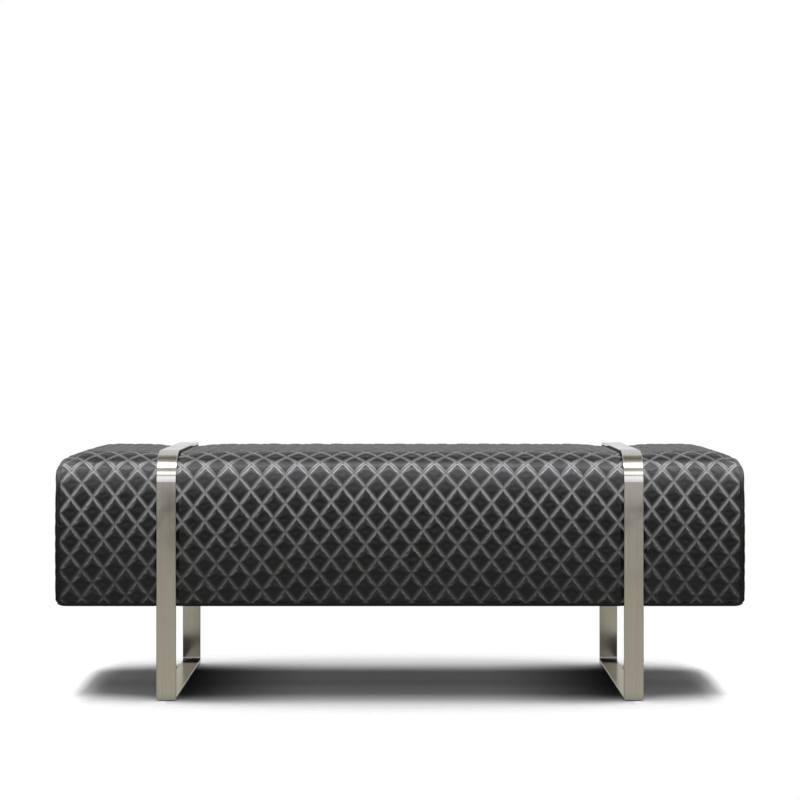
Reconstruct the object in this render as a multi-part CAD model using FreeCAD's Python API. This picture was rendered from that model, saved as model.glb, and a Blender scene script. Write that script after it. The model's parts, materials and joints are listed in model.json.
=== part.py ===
"""Hotel luggage bench: a quilted upholstered box held by two loops of flat steel bar.

Millimetres, +Z up. X runs along the bench and the front faces -Y. The origin is on the floor,
under the middle of the bench. Running this file writes one STEP file per piece to parts/.

From the outside in, the box is a quilted leather cover, foam pads, and a plywood carcass whose
underside is closed by a dust cloth. Each steel loop is a bent hoop and a foot bar, mitred and
welded. Studs welded to the inside of the legs run through the foam, in sleeves that keep it from
being crushed, and through the carcass to nuts inside.
"""
import FreeCAD
import Part
import math
import os

from FreeCAD import Vector

# ---- driving dimensions: upholstered body ------------------------------------------------------
BODY_LENGTH = 1400.0          # over the two end panels
BODY_DEPTH = 450.0            # over the quilted front and rear
BODY_BOTTOM = 192.0           # height of the leather's underside above the floor
BODY_TOP = 503.0              # height of the seat
TOP_EDGE_RADIUS = 60.0        # long front and rear top edges
END_EDGE_RADIUS = 16.0        # edges round each end panel
COVER_THICKNESS = 9.0         # leather with its sewn wadding
END_SEAM_INSET = 7.0          # from the end of the body in to the seam of the end panel
BORDER_HEIGHT = 7.0           # plain leather border along the bottom edge
HEM_THICKNESS = 2.0           # leather turned under the carcass
HEM_WIDTH = 38.0              # from the outside of the border in to the hem's raw edge
DUST_CLOTH_THICKNESS = 1.0
DUST_CLOTH_INSET = 14.0       # from the outside of the body in to the cloth's folded edge

# ---- driving dimensions: foam and carcass ------------------------------------------------------
SIDE_FOAM_THICKNESS = 12.0
SEAT_FOAM_EDGE = 12.0         # upright edge of the seat slab, below its rounded long edges
RAIL_THICKNESS = 18.0
DECK_THICKNESS = 15.0
DECK_EDGE_CHAMFER = 3.0
RIB_THICKNESS = 18.0
RIB_LOOP_DISTANCE = 135.0     # from the middle of a steel loop in to the nearest rib
RIB_HOUSING_DEPTH = 5.0       # how far a rib's end stands in the groove of a long rail
RIB_WINDOW_LENGTH = 120.0
RIB_WINDOW_HEIGHT = 70.0
RIB_WINDOW_CLIP = 20.0         # corners of the window
RIB_WINDOW_SPACING = 165.0    # between the middles of a rib's two windows
CORNER_BLOCK_LEG = 45.0
CORNER_BLOCK_TIP = 6.0        # blunt width of the block's two thin edges

# ---- driving dimensions: steel loops -----------------------------------------------------------
BAR_WIDTH = 40.0
BAR_THICKNESS = 6.0
BAR_EDGE_CHAMFER = 0.8        # dressed long edges of the flat bar
FOOT_CORNER_RADIUS = 2.0      # ground outside of the two mitred corners
LOOP_END_DISTANCE = 225.0     # from the end of the body in to the middle of the bar
BITE_SIDES = 3.0              # how far the bar presses into the front and rear of the cover
BITE_TOP = 2.0                # how far it presses into the seat
BITE_BEND = 4.0               # how much tighter its bends are than the body's top edges
WELD_LEG = 7.0                # inside corner weld between leg and foot bar
GLIDE_THICKNESS = 2.0
GLIDE_LENGTH = 60.0
GLIDE_EDGE_INSET = 3.0        # from the long edges of the foot bar
GLIDE_END_INSET = 6.0         # from the outside of the leg
GLIDE_CORNER_CLIP = 4.0

# ---- driving dimensions: fixings ---------------------------------------------------------------
STUD_DIAMETER = 6.0
STUD_MARGIN = 50.0            # from the rail's top and bottom edges
STUD_TAIL = 5.0               # stud showing beyond its nut
NUT_ACROSS_FLATS = 10.0
NUT_THICKNESS = 5.0
SLEEVE_DIAMETER = 12.0
PLATE_THICKNESS = 3.0
PLATE_WIDTH = 40.0
PLATE_END_MARGIN = 22.0       # plate beyond the outermost stud
PLATE_CORNER_CLIP = 5.0
WOOD_SCREW_DIAMETER = 4.0
WOOD_SCREW_HEAD_DIAMETER = 8.0
CARCASS_SCREW_LENGTH = 50.0
CARCASS_SCREW_ROWS = 3
CARCASS_SCREW_MARGIN = 38.0   # from the rail's top and bottom edges
DECK_SCREW_LENGTH = 40.0
DECK_SCREW_MARGIN = 45.0      # from the ends of the deck
DECK_SCREWS_PER_RAIL = 6

# ---- clearances --------------------------------------------------------------------------------
SOFT_CLEARANCE = 0.3          # leather or foam round steel
HOLE_CLEARANCE = 0.3          # radial, stud in a drilled hole
THREAD_CLEARANCE = 0.05       # radial, stud in its nut and screw in its pilot hole
HOUSING_CLEARANCE = 0.1       # each face of a rib in its groove

# ---- planes that the pieces share --------------------------------------------------------------
FRONT, REAR = -1, 1
LEFT, RIGHT = -1, 1
half_length = BODY_LENGTH / 2
half_depth = BODY_DEPTH / 2
seam_x = half_length - END_SEAM_INSET
border_top = BODY_BOTTOM + BORDER_HEIGHT
foam_x = half_length - COVER_THICKNESS
foam_y = half_depth - COVER_THICKNESS
foam_top = BODY_TOP - COVER_THICKNESS
foam_top_radius = TOP_EDGE_RADIUS - COVER_THICKNESS
carcass_bottom = BODY_BOTTOM + HEM_THICKNESS
carcass_x = foam_x - SIDE_FOAM_THICKNESS
carcass_y = foam_y - SIDE_FOAM_THICKNESS
deck_top = foam_top - foam_top_radius - SEAT_FOAM_EDGE
rail_top = deck_top - DECK_THICKNESS
rail_inside_x = carcass_x - RAIL_THICKNESS
rail_inside_y = carcass_y - RAIL_THICKNESS
nut_seat_y = rail_inside_y - PLATE_THICKNESS
loop_inside_y = half_depth - BITE_SIDES
loop_outside_y = loop_inside_y + BAR_THICKNESS
loop_inside_top = BODY_TOP - BITE_TOP
loop_outside_top = loop_inside_top + BAR_THICKNESS
loop_outside_bottom = GLIDE_THICKNESS
loop_inside_bottom = loop_outside_bottom + BAR_THICKNESS
loop_inside_radius = TOP_EDGE_RADIUS - BITE_BEND
loop_x = half_length - LOOP_END_DISTANCE
rib_x = loop_x - RIB_LOOP_DISTANCE
stud_heights = (carcass_bottom + STUD_MARGIN, rail_top - STUD_MARGIN)
beyond = BODY_LENGTH + BODY_DEPTH + BODY_TOP      # far outside the bench, for cutting tools
SAME_PLACE = 1e-6
SMALL_PART_SIDES = 12         # flat sides of each screw, stud, sleeve and hole


# ---- helpers -----------------------------------------------------------------------------------
def block(x_range, y_range, z_range):
    """A plain block between three pairs of planes, each pair in either order."""
    spans = [sorted(r) for r in (x_range, y_range, z_range)]
    sizes = [high - low for low, high in spans]
    return Part.makeBox(*sizes, Vector(*[low for low, high in spans]))


def edges_at_x(shape, *planes):
    """Edges that lie wholly in one of these planes across the bench."""
    def lies_in(edge, x):
        return all(abs(v.X - x) < SAME_PLACE for v in edge.Vertexes)
    return [e for e in shape.Edges if any(lies_in(e, x) for x in planes)]


def edges_at_z(shape, z):
    """Edges that lie wholly at this height."""
    return [e for e in shape.Edges if all(abs(v.Z - z) < SAME_PLACE for v in e.Vertexes)]


def long_edges(shape, z):
    """The edges at this height that run along the bench."""
    return [e for e in edges_at_z(shape, z) if abs(e.tangentAt(e.FirstParameter).x) > 0.5]


def hooded_block(x_range, half_width, z_range, radius):
    """Block centred on the bench's length axis, with its two long top edges rounded."""
    plain = block(x_range, (-half_width, half_width), z_range)
    return plain.makeFillet(radius, long_edges(plain, max(z_range)))


def clipped_plate(width, length, thickness, clip):
    """Plate with clipped corners, width along X and length along Y, from z = 0 up."""
    plate = block((-width / 2, width / 2), (-length / 2, length / 2), (0, thickness))
    upright = [e for e in plate.Edges if abs(e.tangentAt(e.FirstParameter).z) > 0.5]
    return plate.makeChamfer(clip, upright)


def turned(outline):
    """Solid turned about Z from (radius, height) points, with flat sides in place of the round."""
    turns = [2 * math.pi * k / SMALL_PART_SIDES for k in range(SMALL_PART_SIDES + 1)]
    rings = [[Vector(r * math.cos(t), r * math.sin(t), z) for t in turns] for r, z in outline]
    faces = []
    for ring, following in zip(rings, rings[1:]):
        for k in range(SMALL_PART_SIDES):
            corners = [ring[k], ring[k + 1], following[k + 1], following[k]]
            corners = [c for c, last in zip(corners, corners[-1:] + corners) if c != last]
            faces.append(Part.Face(Part.makePolygon(corners + corners[:1])))
    solid = Part.makeSolid(Part.makeShell(faces)).removeSplitter()
    return solid if solid.Volume > 0 else solid.reversed()


def rod(radius, x, z, y_range):
    """Small rod along Y between two planes, in either order."""
    low, high = sorted(y_range)
    upright = turned([(0, 0), (radius, 0), (radius, high - low), (0, high - low)])
    upright.rotate(Vector(0, 0, 0), Vector(1, 0, 0), -90)
    return upright.translated(Vector(x, low, z))


def minus(shape, tools):
    """The shape less every tool."""
    return shape.cut(tools).removeSplitter() if tools else shape


# ---- steel loops -------------------------------------------------------------------------------
def bar_ring(x):
    """Closed ring of flat bar: round top bends, ground bottom corners and dressed long edges."""
    x_range = (x - BAR_WIDTH / 2, x + BAR_WIDTH / 2)
    outside = hooded_block(x_range, loop_outside_y, (loop_outside_bottom, loop_outside_top),
                           loop_inside_radius + BAR_THICKNESS)
    outside = outside.makeFillet(FOOT_CORNER_RADIUS, long_edges(outside, loop_outside_bottom))
    inside = hooded_block(x_range, loop_inside_y, (loop_inside_bottom, loop_inside_top),
                          loop_inside_radius)
    ring = outside.cut(inside)
    return ring.makeChamfer(BAR_EDGE_CHAMFER, edges_at_x(ring, *x_range))


def foot_wedge(x):
    """Space under the two mitre planes, which rise at 45 degrees from the bottom corners."""
    near_x = x - BAR_WIDTH
    corners = [
        Vector(near_x, -loop_outside_y, loop_outside_bottom),
        Vector(near_x, loop_outside_y, loop_outside_bottom),
        Vector(near_x, 0, loop_outside_bottom + loop_outside_y),
        Vector(near_x, -loop_outside_y, loop_outside_bottom),
    ]
    return Part.Face(Part.makePolygon(corners)).extrude(Vector(2 * BAR_WIDTH, 0, 0))


def weld_bead(x, side):
    """Hollow-faced weld in the inside corner between a leg and the foot bar."""
    start = Vector(x - BAR_WIDTH / 2 + BAR_EDGE_CHAMFER, side * loop_inside_y, loop_inside_bottom)
    up = start + Vector(0, 0, WELD_LEG)
    along = start + Vector(0, -side * WELD_LEG, 0)
    hollow = WELD_LEG * (1 - math.sqrt(0.5))
    middle = start + Vector(0, -side * hollow, hollow)
    outline = Part.Wire([
        Part.makeLine(start, up),
        Part.Arc(up, middle, along).toShape(),
        Part.makeLine(along, start),
    ])
    return Part.Face(outline).extrude(Vector(BAR_WIDTH - 2 * BAR_EDGE_CHAMFER, 0, 0))


def glide(x, side):
    """Thin pad stuck under one end of a foot bar."""
    pad = clipped_plate(BAR_WIDTH - 2 * GLIDE_EDGE_INSET, GLIDE_LENGTH, GLIDE_THICKNESS,
                        GLIDE_CORNER_CLIP)
    pad.translate(Vector(x, side * (loop_outside_y - GLIDE_END_INSET - GLIDE_LENGTH / 2), 0))
    return pad


def loop_pieces(name, x):
    """One steel loop: bent hoop, straight foot bar, the two welds and the two glides."""
    ring, wedge = bar_ring(x), foot_wedge(x)
    return {
        name + "_hoop": ring.cut(wedge),
        name + "_foot_bar": ring.common(wedge),
        name + "_weld_beads": [weld_bead(x, side) for side in (FRONT, REAR)],
        name + "_glides": [glide(x, side) for side in (FRONT, REAR)],
    }


# ---- fixings of the loops ----------------------------------------------------------------------
def stud_places():
    """Every stud, as (side, x, z)."""
    return [(side, x, z) for side in (FRONT, REAR) for x in (-loop_x, loop_x) for z in stud_heights]


def weld_stud(side, x, z):
    """Threaded stud that stands on a leg's inside face and ends beyond its nut."""
    tip = nut_seat_y - NUT_THICKNESS - STUD_TAIL
    return rod(STUD_DIAMETER / 2, x, z, (side * tip, side * loop_inside_y))


def sleeve(side, x, z):
    """Tube from the leg to the rail, which keeps the foam from being crushed."""
    y_range = (side * carcass_y, side * loop_inside_y)
    bore = rod(STUD_DIAMETER / 2 + HOLE_CLEARANCE, x, z, y_range)
    return rod(SLEEVE_DIAMETER / 2, x, z, y_range).cut(bore)


def nut(side, x, z):
    """Hexagon nut on the backing plate."""
    y_range = (side * nut_seat_y, side * (nut_seat_y - NUT_THICKNESS))
    corner = NUT_ACROSS_FLATS / math.sqrt(3)
    turns = [math.radians(60 * k) for k in range(7)]
    outline = [Vector(x + corner * math.cos(t), y_range[0], z + corner * math.sin(t)) for t in turns]
    prism = Part.Face(Part.makePolygon(outline)).extrude(Vector(0, y_range[1] - y_range[0], 0))
    return prism.cut(rod(STUD_DIAMETER / 2 + THREAD_CLEARANCE, x, z, y_range))


def stud_hole(side, x, z):
    """Hole for a stud through the rail and its backing plate."""
    return rod(STUD_DIAMETER / 2 + HOLE_CLEARANCE, x, z, (side * nut_seat_y, side * carcass_y))


def sleeve_hole(side, x, z):
    """Hole for a sleeve through foam and cover."""
    y_range = (side * carcass_y, side * half_depth)
    return rod(SLEEVE_DIAMETER / 2 + SOFT_CLEARANCE, x, z, y_range)


def backing_plate(side, x):
    """Steel strip inside a rail that spreads the load of one leg's studs."""
    low, high = stud_heights
    plate = clipped_plate(PLATE_WIDTH, high - low + 2 * PLATE_END_MARGIN, PLATE_THICKNESS,
                          PLATE_CORNER_CLIP)
    plate.rotate(Vector(0, 0, 0), Vector(1, 0, 0), 90)
    plate.translate(Vector(x, max(side * nut_seat_y, side * rail_inside_y), (low + high) / 2))
    return minus(plate, [stud_hole(side, x, z) for z in stud_heights])


def fixing_pieces():
    """Everything that ties the two loops to the carcass."""
    places = stud_places()
    return {
        "weld_studs": [weld_stud(*p) for p in places],
        "spacer_sleeves": [sleeve(*p) for p in places],
        "hex_nuts": [nut(*p) for p in places],
        "backing_plates": [backing_plate(side, x) for side in (FRONT, REAR) for x in (-loop_x, loop_x)],
    }


# ---- upholstery --------------------------------------------------------------------------------
def stuffing():
    """What fills the cover: the outside of all the foam pads, with the carcass filled in."""
    return hooded_block((-foam_x, foam_x), foam_y, (carcass_bottom, foam_top), foam_top_radius)


def bar_channel(x):
    """The room that one hoop presses into the cover."""
    half_width = BAR_WIDTH / 2 + SOFT_CLEARANCE
    x_range = (x - half_width, x + half_width)
    core = hooded_block(x_range, loop_inside_y - SOFT_CLEARANCE,
                        (-beyond, loop_inside_top - SOFT_CLEARANCE),
                        loop_inside_radius - SOFT_CLEARANCE)
    return block(x_range, (-beyond, beyond), (-beyond, beyond)).cut(core)


def cover_shell():
    """The whole cover before it is cut into panels, open below inside the hem."""
    outside = hooded_block((-half_length, half_length), half_depth, (BODY_BOTTOM, BODY_TOP),
                           TOP_EDGE_RADIUS)
    outside = outside.makeFillet(END_EDGE_RADIUS, edges_at_x(outside, -half_length, half_length))
    mouth_x, mouth_y = half_length - HEM_WIDTH, half_depth - HEM_WIDTH
    mouth = block((-mouth_x, mouth_x), (-mouth_y, mouth_y), (BODY_BOTTOM, carcass_bottom))
    channels = [bar_channel(x) for x in (-loop_x, loop_x)]
    return minus(outside, [stuffing(), mouth] + channels + [sleeve_hole(*p) for p in stud_places()])


def end_region(side):
    """Space of one end panel: beyond its seam, and the end wall between the wrap's edges."""
    past_seam = block((side * seam_x, side * beyond), (-beyond, beyond), (-beyond, beyond))
    end_wall = hooded_block((side * foam_x, side * beyond), foam_y, (carcass_bottom, foam_top),
                            foam_top_radius)
    return past_seam.fuse(end_wall)


def cover_pieces():
    """Quilted wrap over front, seat and rear, two quilted end panels and the plain border."""
    shell = cover_shell()
    border_space = block((-beyond, beyond), (-beyond, beyond), (-beyond, border_top))
    quilted = shell.cut(border_space)
    left, right = end_region(LEFT), end_region(RIGHT)
    return {
        "quilted_wrap": minus(quilted, [left, right]),
        "left_end_panel": quilted.common(left).removeSplitter(),
        "right_end_panel": quilted.common(right).removeSplitter(),
        "base_border": shell.common(border_space),
    }


def dust_cloth():
    """Cloth that closes the underside, lapped over the hems."""
    x, y = half_length - DUST_CLOTH_INSET, half_depth - DUST_CLOTH_INSET
    return block((-x, x), (-y, y), (BODY_BOTTOM - DUST_CLOTH_THICKNESS, BODY_BOTTOM))


def foam_pieces():
    """Seat slab, front and rear pads over the full length, and end pads between those."""
    form, below_seat = stuffing(), (carcass_bottom, deck_top)
    holes = [sleeve_hole(*p) for p in stud_places()]
    pieces = {"seat_foam": form.common(block((-foam_x, foam_x), (-foam_y, foam_y),
                                             (deck_top, foam_top)))}
    for name, side in (("front_foam", FRONT), ("rear_foam", REAR)):
        space = block((-foam_x, foam_x), (side * carcass_y, side * foam_y), below_seat)
        pieces[name] = minus(form.common(space), holes)
    for name, side in (("left_end_foam", LEFT), ("right_end_foam", RIGHT)):
        space = block((side * carcass_x, side * foam_x), (-carcass_y, carcass_y), below_seat)
        pieces[name] = form.common(space)
    return pieces


# ---- wood screws -------------------------------------------------------------------------------
def wood_screw(length, clearance=0.0):
    """Countersunk screw: head face at z = 0, tip at z = -length. Grown by a clearance, its hole."""
    head = WOOD_SCREW_HEAD_DIAMETER / 2 + clearance
    shank = WOOD_SCREW_DIAMETER / 2 + clearance
    return turned([(0, 0), (head, 0), (shank, shank - head), (shank, shank - length),
                   (0, -length - clearance)])


def evenly(low, high, count):
    """Places from low to high with equal steps."""
    return [low + (high - low) * k / (count - 1) for k in range(count)]


def in_rails(shape):
    """Copies through the long rails' outside faces, into the ends of the ribs and end rails."""
    joint_x = carcass_x - RAIL_THICKNESS / 2
    heights = evenly(carcass_bottom + CARCASS_SCREW_MARGIN, rail_top - CARCASS_SCREW_MARGIN,
                     CARCASS_SCREW_ROWS)
    copies = []
    for side in (FRONT, REAR):
        turned = shape.copy()
        turned.rotate(Vector(0, 0, 0), Vector(1, 0, 0), -90 * side)
        for x in (-joint_x, -rib_x, 0, rib_x, joint_x):
            copies += [turned.translated(Vector(x, side * carcass_y, z)) for z in heights]
    return copies


def in_deck(shape):
    """Copies down through the deck into the middle of the long rails."""
    end = carcass_x - DECK_SCREW_MARGIN
    y = carcass_y - RAIL_THICKNESS / 2
    return [
        shape.translated(Vector(x, side * y, deck_top))
        for side in (FRONT, REAR) for x in evenly(-end, end, DECK_SCREWS_PER_RAIL)
    ]


# ---- carcass -----------------------------------------------------------------------------------
def drilled(shape, holes):
    """The shape less those holes that reach into it."""
    return minus(shape, [h for h in holes if shape.BoundBox.intersect(h.BoundBox)])


def long_rail(side, holes):
    """Front or rear rail, with a groove for each rib and holes for the studs."""
    rail = block((-carcass_x, carcass_x), (side * rail_inside_y, side * carcass_y),
                 (carcass_bottom, rail_top))
    half_groove = RIB_THICKNESS / 2 + HOUSING_CLEARANCE
    groove_floor = rail_inside_y + RIB_HOUSING_DEPTH + HOUSING_CLEARANCE
    grooves = [
        block((x - half_groove, x + half_groove), (side * rail_inside_y, side * groove_floor),
              (carcass_bottom, rail_top))
        for x in (-rib_x, 0, rib_x)
    ]
    return drilled(rail, grooves + [stud_hole(*p) for p in stud_places()] + holes)


def end_rail(side, holes):
    """Rail across one end, between the two long rails."""
    rail = block((side * rail_inside_x, side * carcass_x), (-rail_inside_y, rail_inside_y),
                 (carcass_bottom, rail_top))
    return drilled(rail, holes)


def rib_window(x, y):
    """Opening with clipped corners through a rib."""
    reach, rise = RIB_WINDOW_LENGTH / 2, RIB_WINDOW_HEIGHT / 2
    middle = (carcass_bottom + rail_top) / 2
    opening = block((x - RIB_THICKNESS / 2, x + RIB_THICKNESS / 2), (y - reach, y + reach),
                    (middle - rise, middle + rise))
    across = [e for e in opening.Edges if abs(e.tangentAt(e.FirstParameter).x) > 0.5]
    return opening.makeChamfer(RIB_WINDOW_CLIP, across)


def rib(x, holes):
    """Cross rib that carries the deck, its ends in the rails' grooves."""
    reach = rail_inside_y + RIB_HOUSING_DEPTH
    board = block((x - RIB_THICKNESS / 2, x + RIB_THICKNESS / 2), (-reach, reach),
                  (carcass_bottom, rail_top))
    windows = [rib_window(x, side * RIB_WINDOW_SPACING / 2) for side in (FRONT, REAR)]
    return drilled(board, windows + holes)


def deck(holes):
    """Plywood board over the rails, its top edges eased for the foam."""
    board = block((-carcass_x, carcass_x), (-carcass_y, carcass_y), (rail_top, deck_top))
    return drilled(board.makeChamfer(DECK_EDGE_CHAMFER, edges_at_z(board, deck_top)), holes)


def corner_block(x_side, y_side):
    """Glue block in one corner of the carcass, with its two thin edges cut blunt."""
    outline = [(0, 0), (CORNER_BLOCK_LEG, 0), (CORNER_BLOCK_LEG, CORNER_BLOCK_TIP),
               (CORNER_BLOCK_TIP, CORNER_BLOCK_LEG), (0, CORNER_BLOCK_LEG), (0, 0)]
    points = [
        Vector(x_side * (rail_inside_x - a), y_side * (rail_inside_y - b), carcass_bottom)
        for a, b in outline
    ]
    return Part.Face(Part.makePolygon(points)).extrude(Vector(0, 0, rail_top - carcass_bottom))


def carcass_pieces():
    """Rails, ribs, deck and corner blocks with the wood screws that join them."""
    carcass_screw, deck_screw = wood_screw(CARCASS_SCREW_LENGTH), wood_screw(DECK_SCREW_LENGTH)
    holes = (in_rails(wood_screw(CARCASS_SCREW_LENGTH, THREAD_CLEARANCE))
             + in_deck(wood_screw(DECK_SCREW_LENGTH, THREAD_CLEARANCE)))
    return {
        "front_rail": long_rail(FRONT, holes),
        "rear_rail": long_rail(REAR, holes),
        "left_end_rail": end_rail(LEFT, holes),
        "right_end_rail": end_rail(RIGHT, holes),
        "left_rib": rib(-rib_x, holes),
        "middle_rib": rib(0, holes),
        "right_rib": rib(rib_x, holes),
        "deck": deck(holes),
        "corner_blocks": [corner_block(x, y) for x in (LEFT, RIGHT) for y in (FRONT, REAR)],
        "carcass_screws": in_rails(carcass_screw),
        "deck_screws": in_deck(deck_screw),
    }


# ---- the assembly ------------------------------------------------------------------------------
def main():
    """Builds every piece and writes it to its STEP file, like small pieces together in one."""
    pieces = {
        **cover_pieces(),
        "dust_cloth": dust_cloth(),
        **foam_pieces(),
        **carcass_pieces(),
        **loop_pieces("left", -loop_x),
        **loop_pieces("right", loop_x),
        **fixing_pieces(),
    }
    os.makedirs("parts", exist_ok=True)
    for name, shape in pieces.items():
        solids = shape if isinstance(shape, list) else shape.Solids
        whole = solids[0] if len(solids) == 1 else Part.makeCompound(solids)
        whole.exportStep("parts/" + name + ".step")
        print("%-18s %2d solids %11.0f mm3" % (name, len(solids), whole.Volume))


main()
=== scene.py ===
"""Looks of the hotel luggage bench: quilted leather, brushed bar, floor, lights and camera.

Metres, in the frame of the solids: +Z up, X along the bench, front towards -Y. The quilted
leather is worked out on a lattice whose grid lines run through every seam of the diamonds.
"""
import json
import math

import bpy
import numpy as np
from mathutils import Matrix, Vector


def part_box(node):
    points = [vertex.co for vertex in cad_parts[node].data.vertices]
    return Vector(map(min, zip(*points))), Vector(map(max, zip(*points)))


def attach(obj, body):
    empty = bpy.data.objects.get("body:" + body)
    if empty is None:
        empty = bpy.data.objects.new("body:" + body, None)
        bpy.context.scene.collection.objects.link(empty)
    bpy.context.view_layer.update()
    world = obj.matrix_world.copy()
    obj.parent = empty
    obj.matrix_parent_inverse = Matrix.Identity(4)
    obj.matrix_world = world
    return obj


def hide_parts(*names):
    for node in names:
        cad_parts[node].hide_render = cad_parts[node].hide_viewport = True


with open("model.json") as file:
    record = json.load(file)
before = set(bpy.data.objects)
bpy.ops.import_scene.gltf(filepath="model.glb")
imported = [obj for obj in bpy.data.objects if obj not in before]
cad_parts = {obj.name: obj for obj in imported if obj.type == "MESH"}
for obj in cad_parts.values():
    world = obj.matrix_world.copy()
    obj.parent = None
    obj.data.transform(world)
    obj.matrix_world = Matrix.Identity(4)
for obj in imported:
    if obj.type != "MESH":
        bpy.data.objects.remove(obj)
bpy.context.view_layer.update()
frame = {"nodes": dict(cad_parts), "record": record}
nodes = frame["nodes"]
MM = 0.001

# ---- sizes that come from the solids ----
wrap_low, wrap_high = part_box("quilted_wrap")
hoop_low, hoop_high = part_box("right_hoop")
cloth_low, cloth_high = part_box("dust_cloth")
SEAM_X = wrap_high.x            # seam between the wrap and an end panel
END_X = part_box("right_end_panel")[1].x
HALF_DEPTH = wrap_high.y
SEAT = wrap_high.z
BORDER_TOP = wrap_low.z         # seam between the wrap and the border
BODY_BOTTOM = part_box("base_border")[0].z
BAR_X = (hoop_low.x + hoop_high.x) / 2  # middle of a steel loop
BAR_HALF = (hoop_high.x - hoop_low.x) / 2
TOP_EDGE_RADIUS = 60 * MM
END_EDGE_RADIUS = 16 * MM
CORNER_RADIUS = 9 * MM          # upright corners, tighter than those along the foot

# ---- quilting ----
HALF_PITCH = 70 / 3 * MM        # half the width of a diamond
HALF_ROW = 29 * MM              # half the height of a diamond
FIRST_ROW = 3.6 * MM            # from the border's seam up to the first crossings
CELLS = 10                      # grid cells in half a diamond, both ways
EMPTY_AREA = 1e-10              # square metres; triangles smaller than half of it go
PUFF_HEIGHT = 3.3 * MM
PUFF_REACH = 3.6 * MM           # in which a diamond does most of its rise from a seam
PUFF_LIMIT = 5.5 * MM           # no point of a diamond moves further than this
SEAM_GAP = HALF_PITCH * 2 * HALF_ROW / math.hypot(HALF_PITCH, HALF_ROW)  # between seams
PATCH = 4                       # diamonds to a side of the sheet that is simulated
PADDING_HOLD = 0.12             # how firmly the padding holds the leather to its shape
PADDING_PRESSURE = 0.15
LEATHER_SLACK = 0.008
CLOTH_STEPS = 25
UNEVENNESS = 0.05 * MM          # of the sheet before it is simulated
TUFT_SPREAD = 0.05              # how much fuller or flatter diamonds are
PICKS = 97                      # side of the table of picked shapes, then it repeats
LEAN_START = 142 * MM           # rows droop from here to the ends
LEAN = 0.0415
SQUEEZE_START = 480 * MM        # diamonds are narrower from here to the ends
SQUEEZE = 0.0335

# ---- how the stuffed block departs from its plain form ----
CROWN = 2.2 * MM                # rise of the seat's middle
CROWN_FALL = 4.8 * MM           # from the crown down to the steel loops
CROWN_FALL_REACH = 38 * MM
END_FALL = 17 * MM              # extra drop of the seat at its ends, in a straight slope
END_FALL_REACH = 48 * MM
END_FALL_KNEE = 6 * MM
EDGE_EASE = 4.0 * MM            # how much earlier than a true arc the long edges turn
EDGE_EASE_REACH = 45 * MM
TOP_FALL = 7.0 * MM             # fall of the seat along its long edges
TOP_FALL_PLACE = 72 * MM        # deepest this far past the start of each arc
TOP_FALL_REACH = 30 * MM
FRONT_SWELL = 3.0 * MM          # swell of the front and the rear between their edges
BAR_BITE = 2.6 * MM             # leather pressed in under the bar
BAR_BITE_REACH = 9 * MM         # how far beside the bar it comes back
PANEL_CALM = 24 * MM            # from a panel's edge to its quilting's full depth
STITCH_PITCH = 1.85             # lattice steps from one stitch to the next
STITCH_SHARE = 0.72             # share of that which a stitch covers
THREAD_RADIUS = 0.45 * MM
SEAM_DEPTH = 2.2 * MM
SEAM_REACH = 4.0 * MM
SEAM_TUCK = 0.4 * SEAM_DEPTH    # how far an end panel's edge is drawn into its seams
END_SWELL = 10.5 * MM           # how far an end panel stands beyond its seam
DIAGONALS = 400                 # more to each side of the middle than there are
PANEL_CELLS = 98, 110           # grid cells aside and up that more than cover an end panel
SEAM_STITCH_GAP = 3 * MM        # no stitch is nearer to the wrap's edges than this
BAR_STITCH_GAP = 1.5 * MM
PANEL_STITCH_GAP = 4 * MM

# ---- border, foam and lining ----
HEM_WIDTH = 38 * MM
BORDER_ROUNDING = 4.0 * MM      # of the border's lower edge
FOAM_CLEARANCE = 9 * MM         # leather, its wadding and the depth of the quilting
FOAM_EDGE = 5 * MM
FOAM_CELL = 20 * MM
LINING_THICKNESS = 0.3 * MM
LINING_SAG = 0.5 * MM
FOLD_DEPTH = 0.2 * MM
FOLD_REACH = 40 * MM            # how far the lining's folds run in from its edge
STAPLE_PITCH = 42 * MM
STAPLE_INSET = 7 * MM
STAPLE_REACH = 5.5 * MM         # half a staple's length
STAPLE_HALF_WIDTH = 0.6 * MM
STAPLE_EASE = 0.25 * MM         # how much a crown narrows downwards, on each side

# ---- colours ----
DARK_LEATHER = (0.0030, 0.0028, 0.0024, 1)
PALE_LEATHER = (0.0056, 0.0057, 0.0056, 1)
# grey painted over the long edges and the seat as a painted sheen
SHEEN_PAINT_GREY = (0.098, 0.099, 0.106, 1)
# pale grey painted along the seams as painted highlights
SEAM_HIGHLIGHT_GREY = (0.70, 0.70, 0.695, 1)
STEEL_WARMTH = 0.035
MIX_SHARE, MIX_FIRST, MIX_SECOND, MIX_RESULT = 0, 6, 7, 2  # sockets of a Mix node for colours

# ---- picture ----
PICTURE_SIDE = 800              # pixels
FOCAL_PIXELS = 1809
CAMERA_Y = -3.901
CAMERA_Z = 0.703
HORIZON_ROW = 355
HIGH_SOFTBOX = 0.78             # a tenth of a softbox's level as a mirror shows it
SIDE_SOFTBOX = 0.42
MIRRORED, MIRRORED_TWICE = 10.0, 2.5  # what those tenths are multiplied by
FILL = 0.19
FLOOR_WHITE = 1.02              # floor's colour to the camera, so that it reads white
FLOOR_FADE = 0.27, 0.40         # distances over which the floor fades out
FLOOR_STRETCH = 2.4             # its faded outline is this much longer than deep


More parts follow.
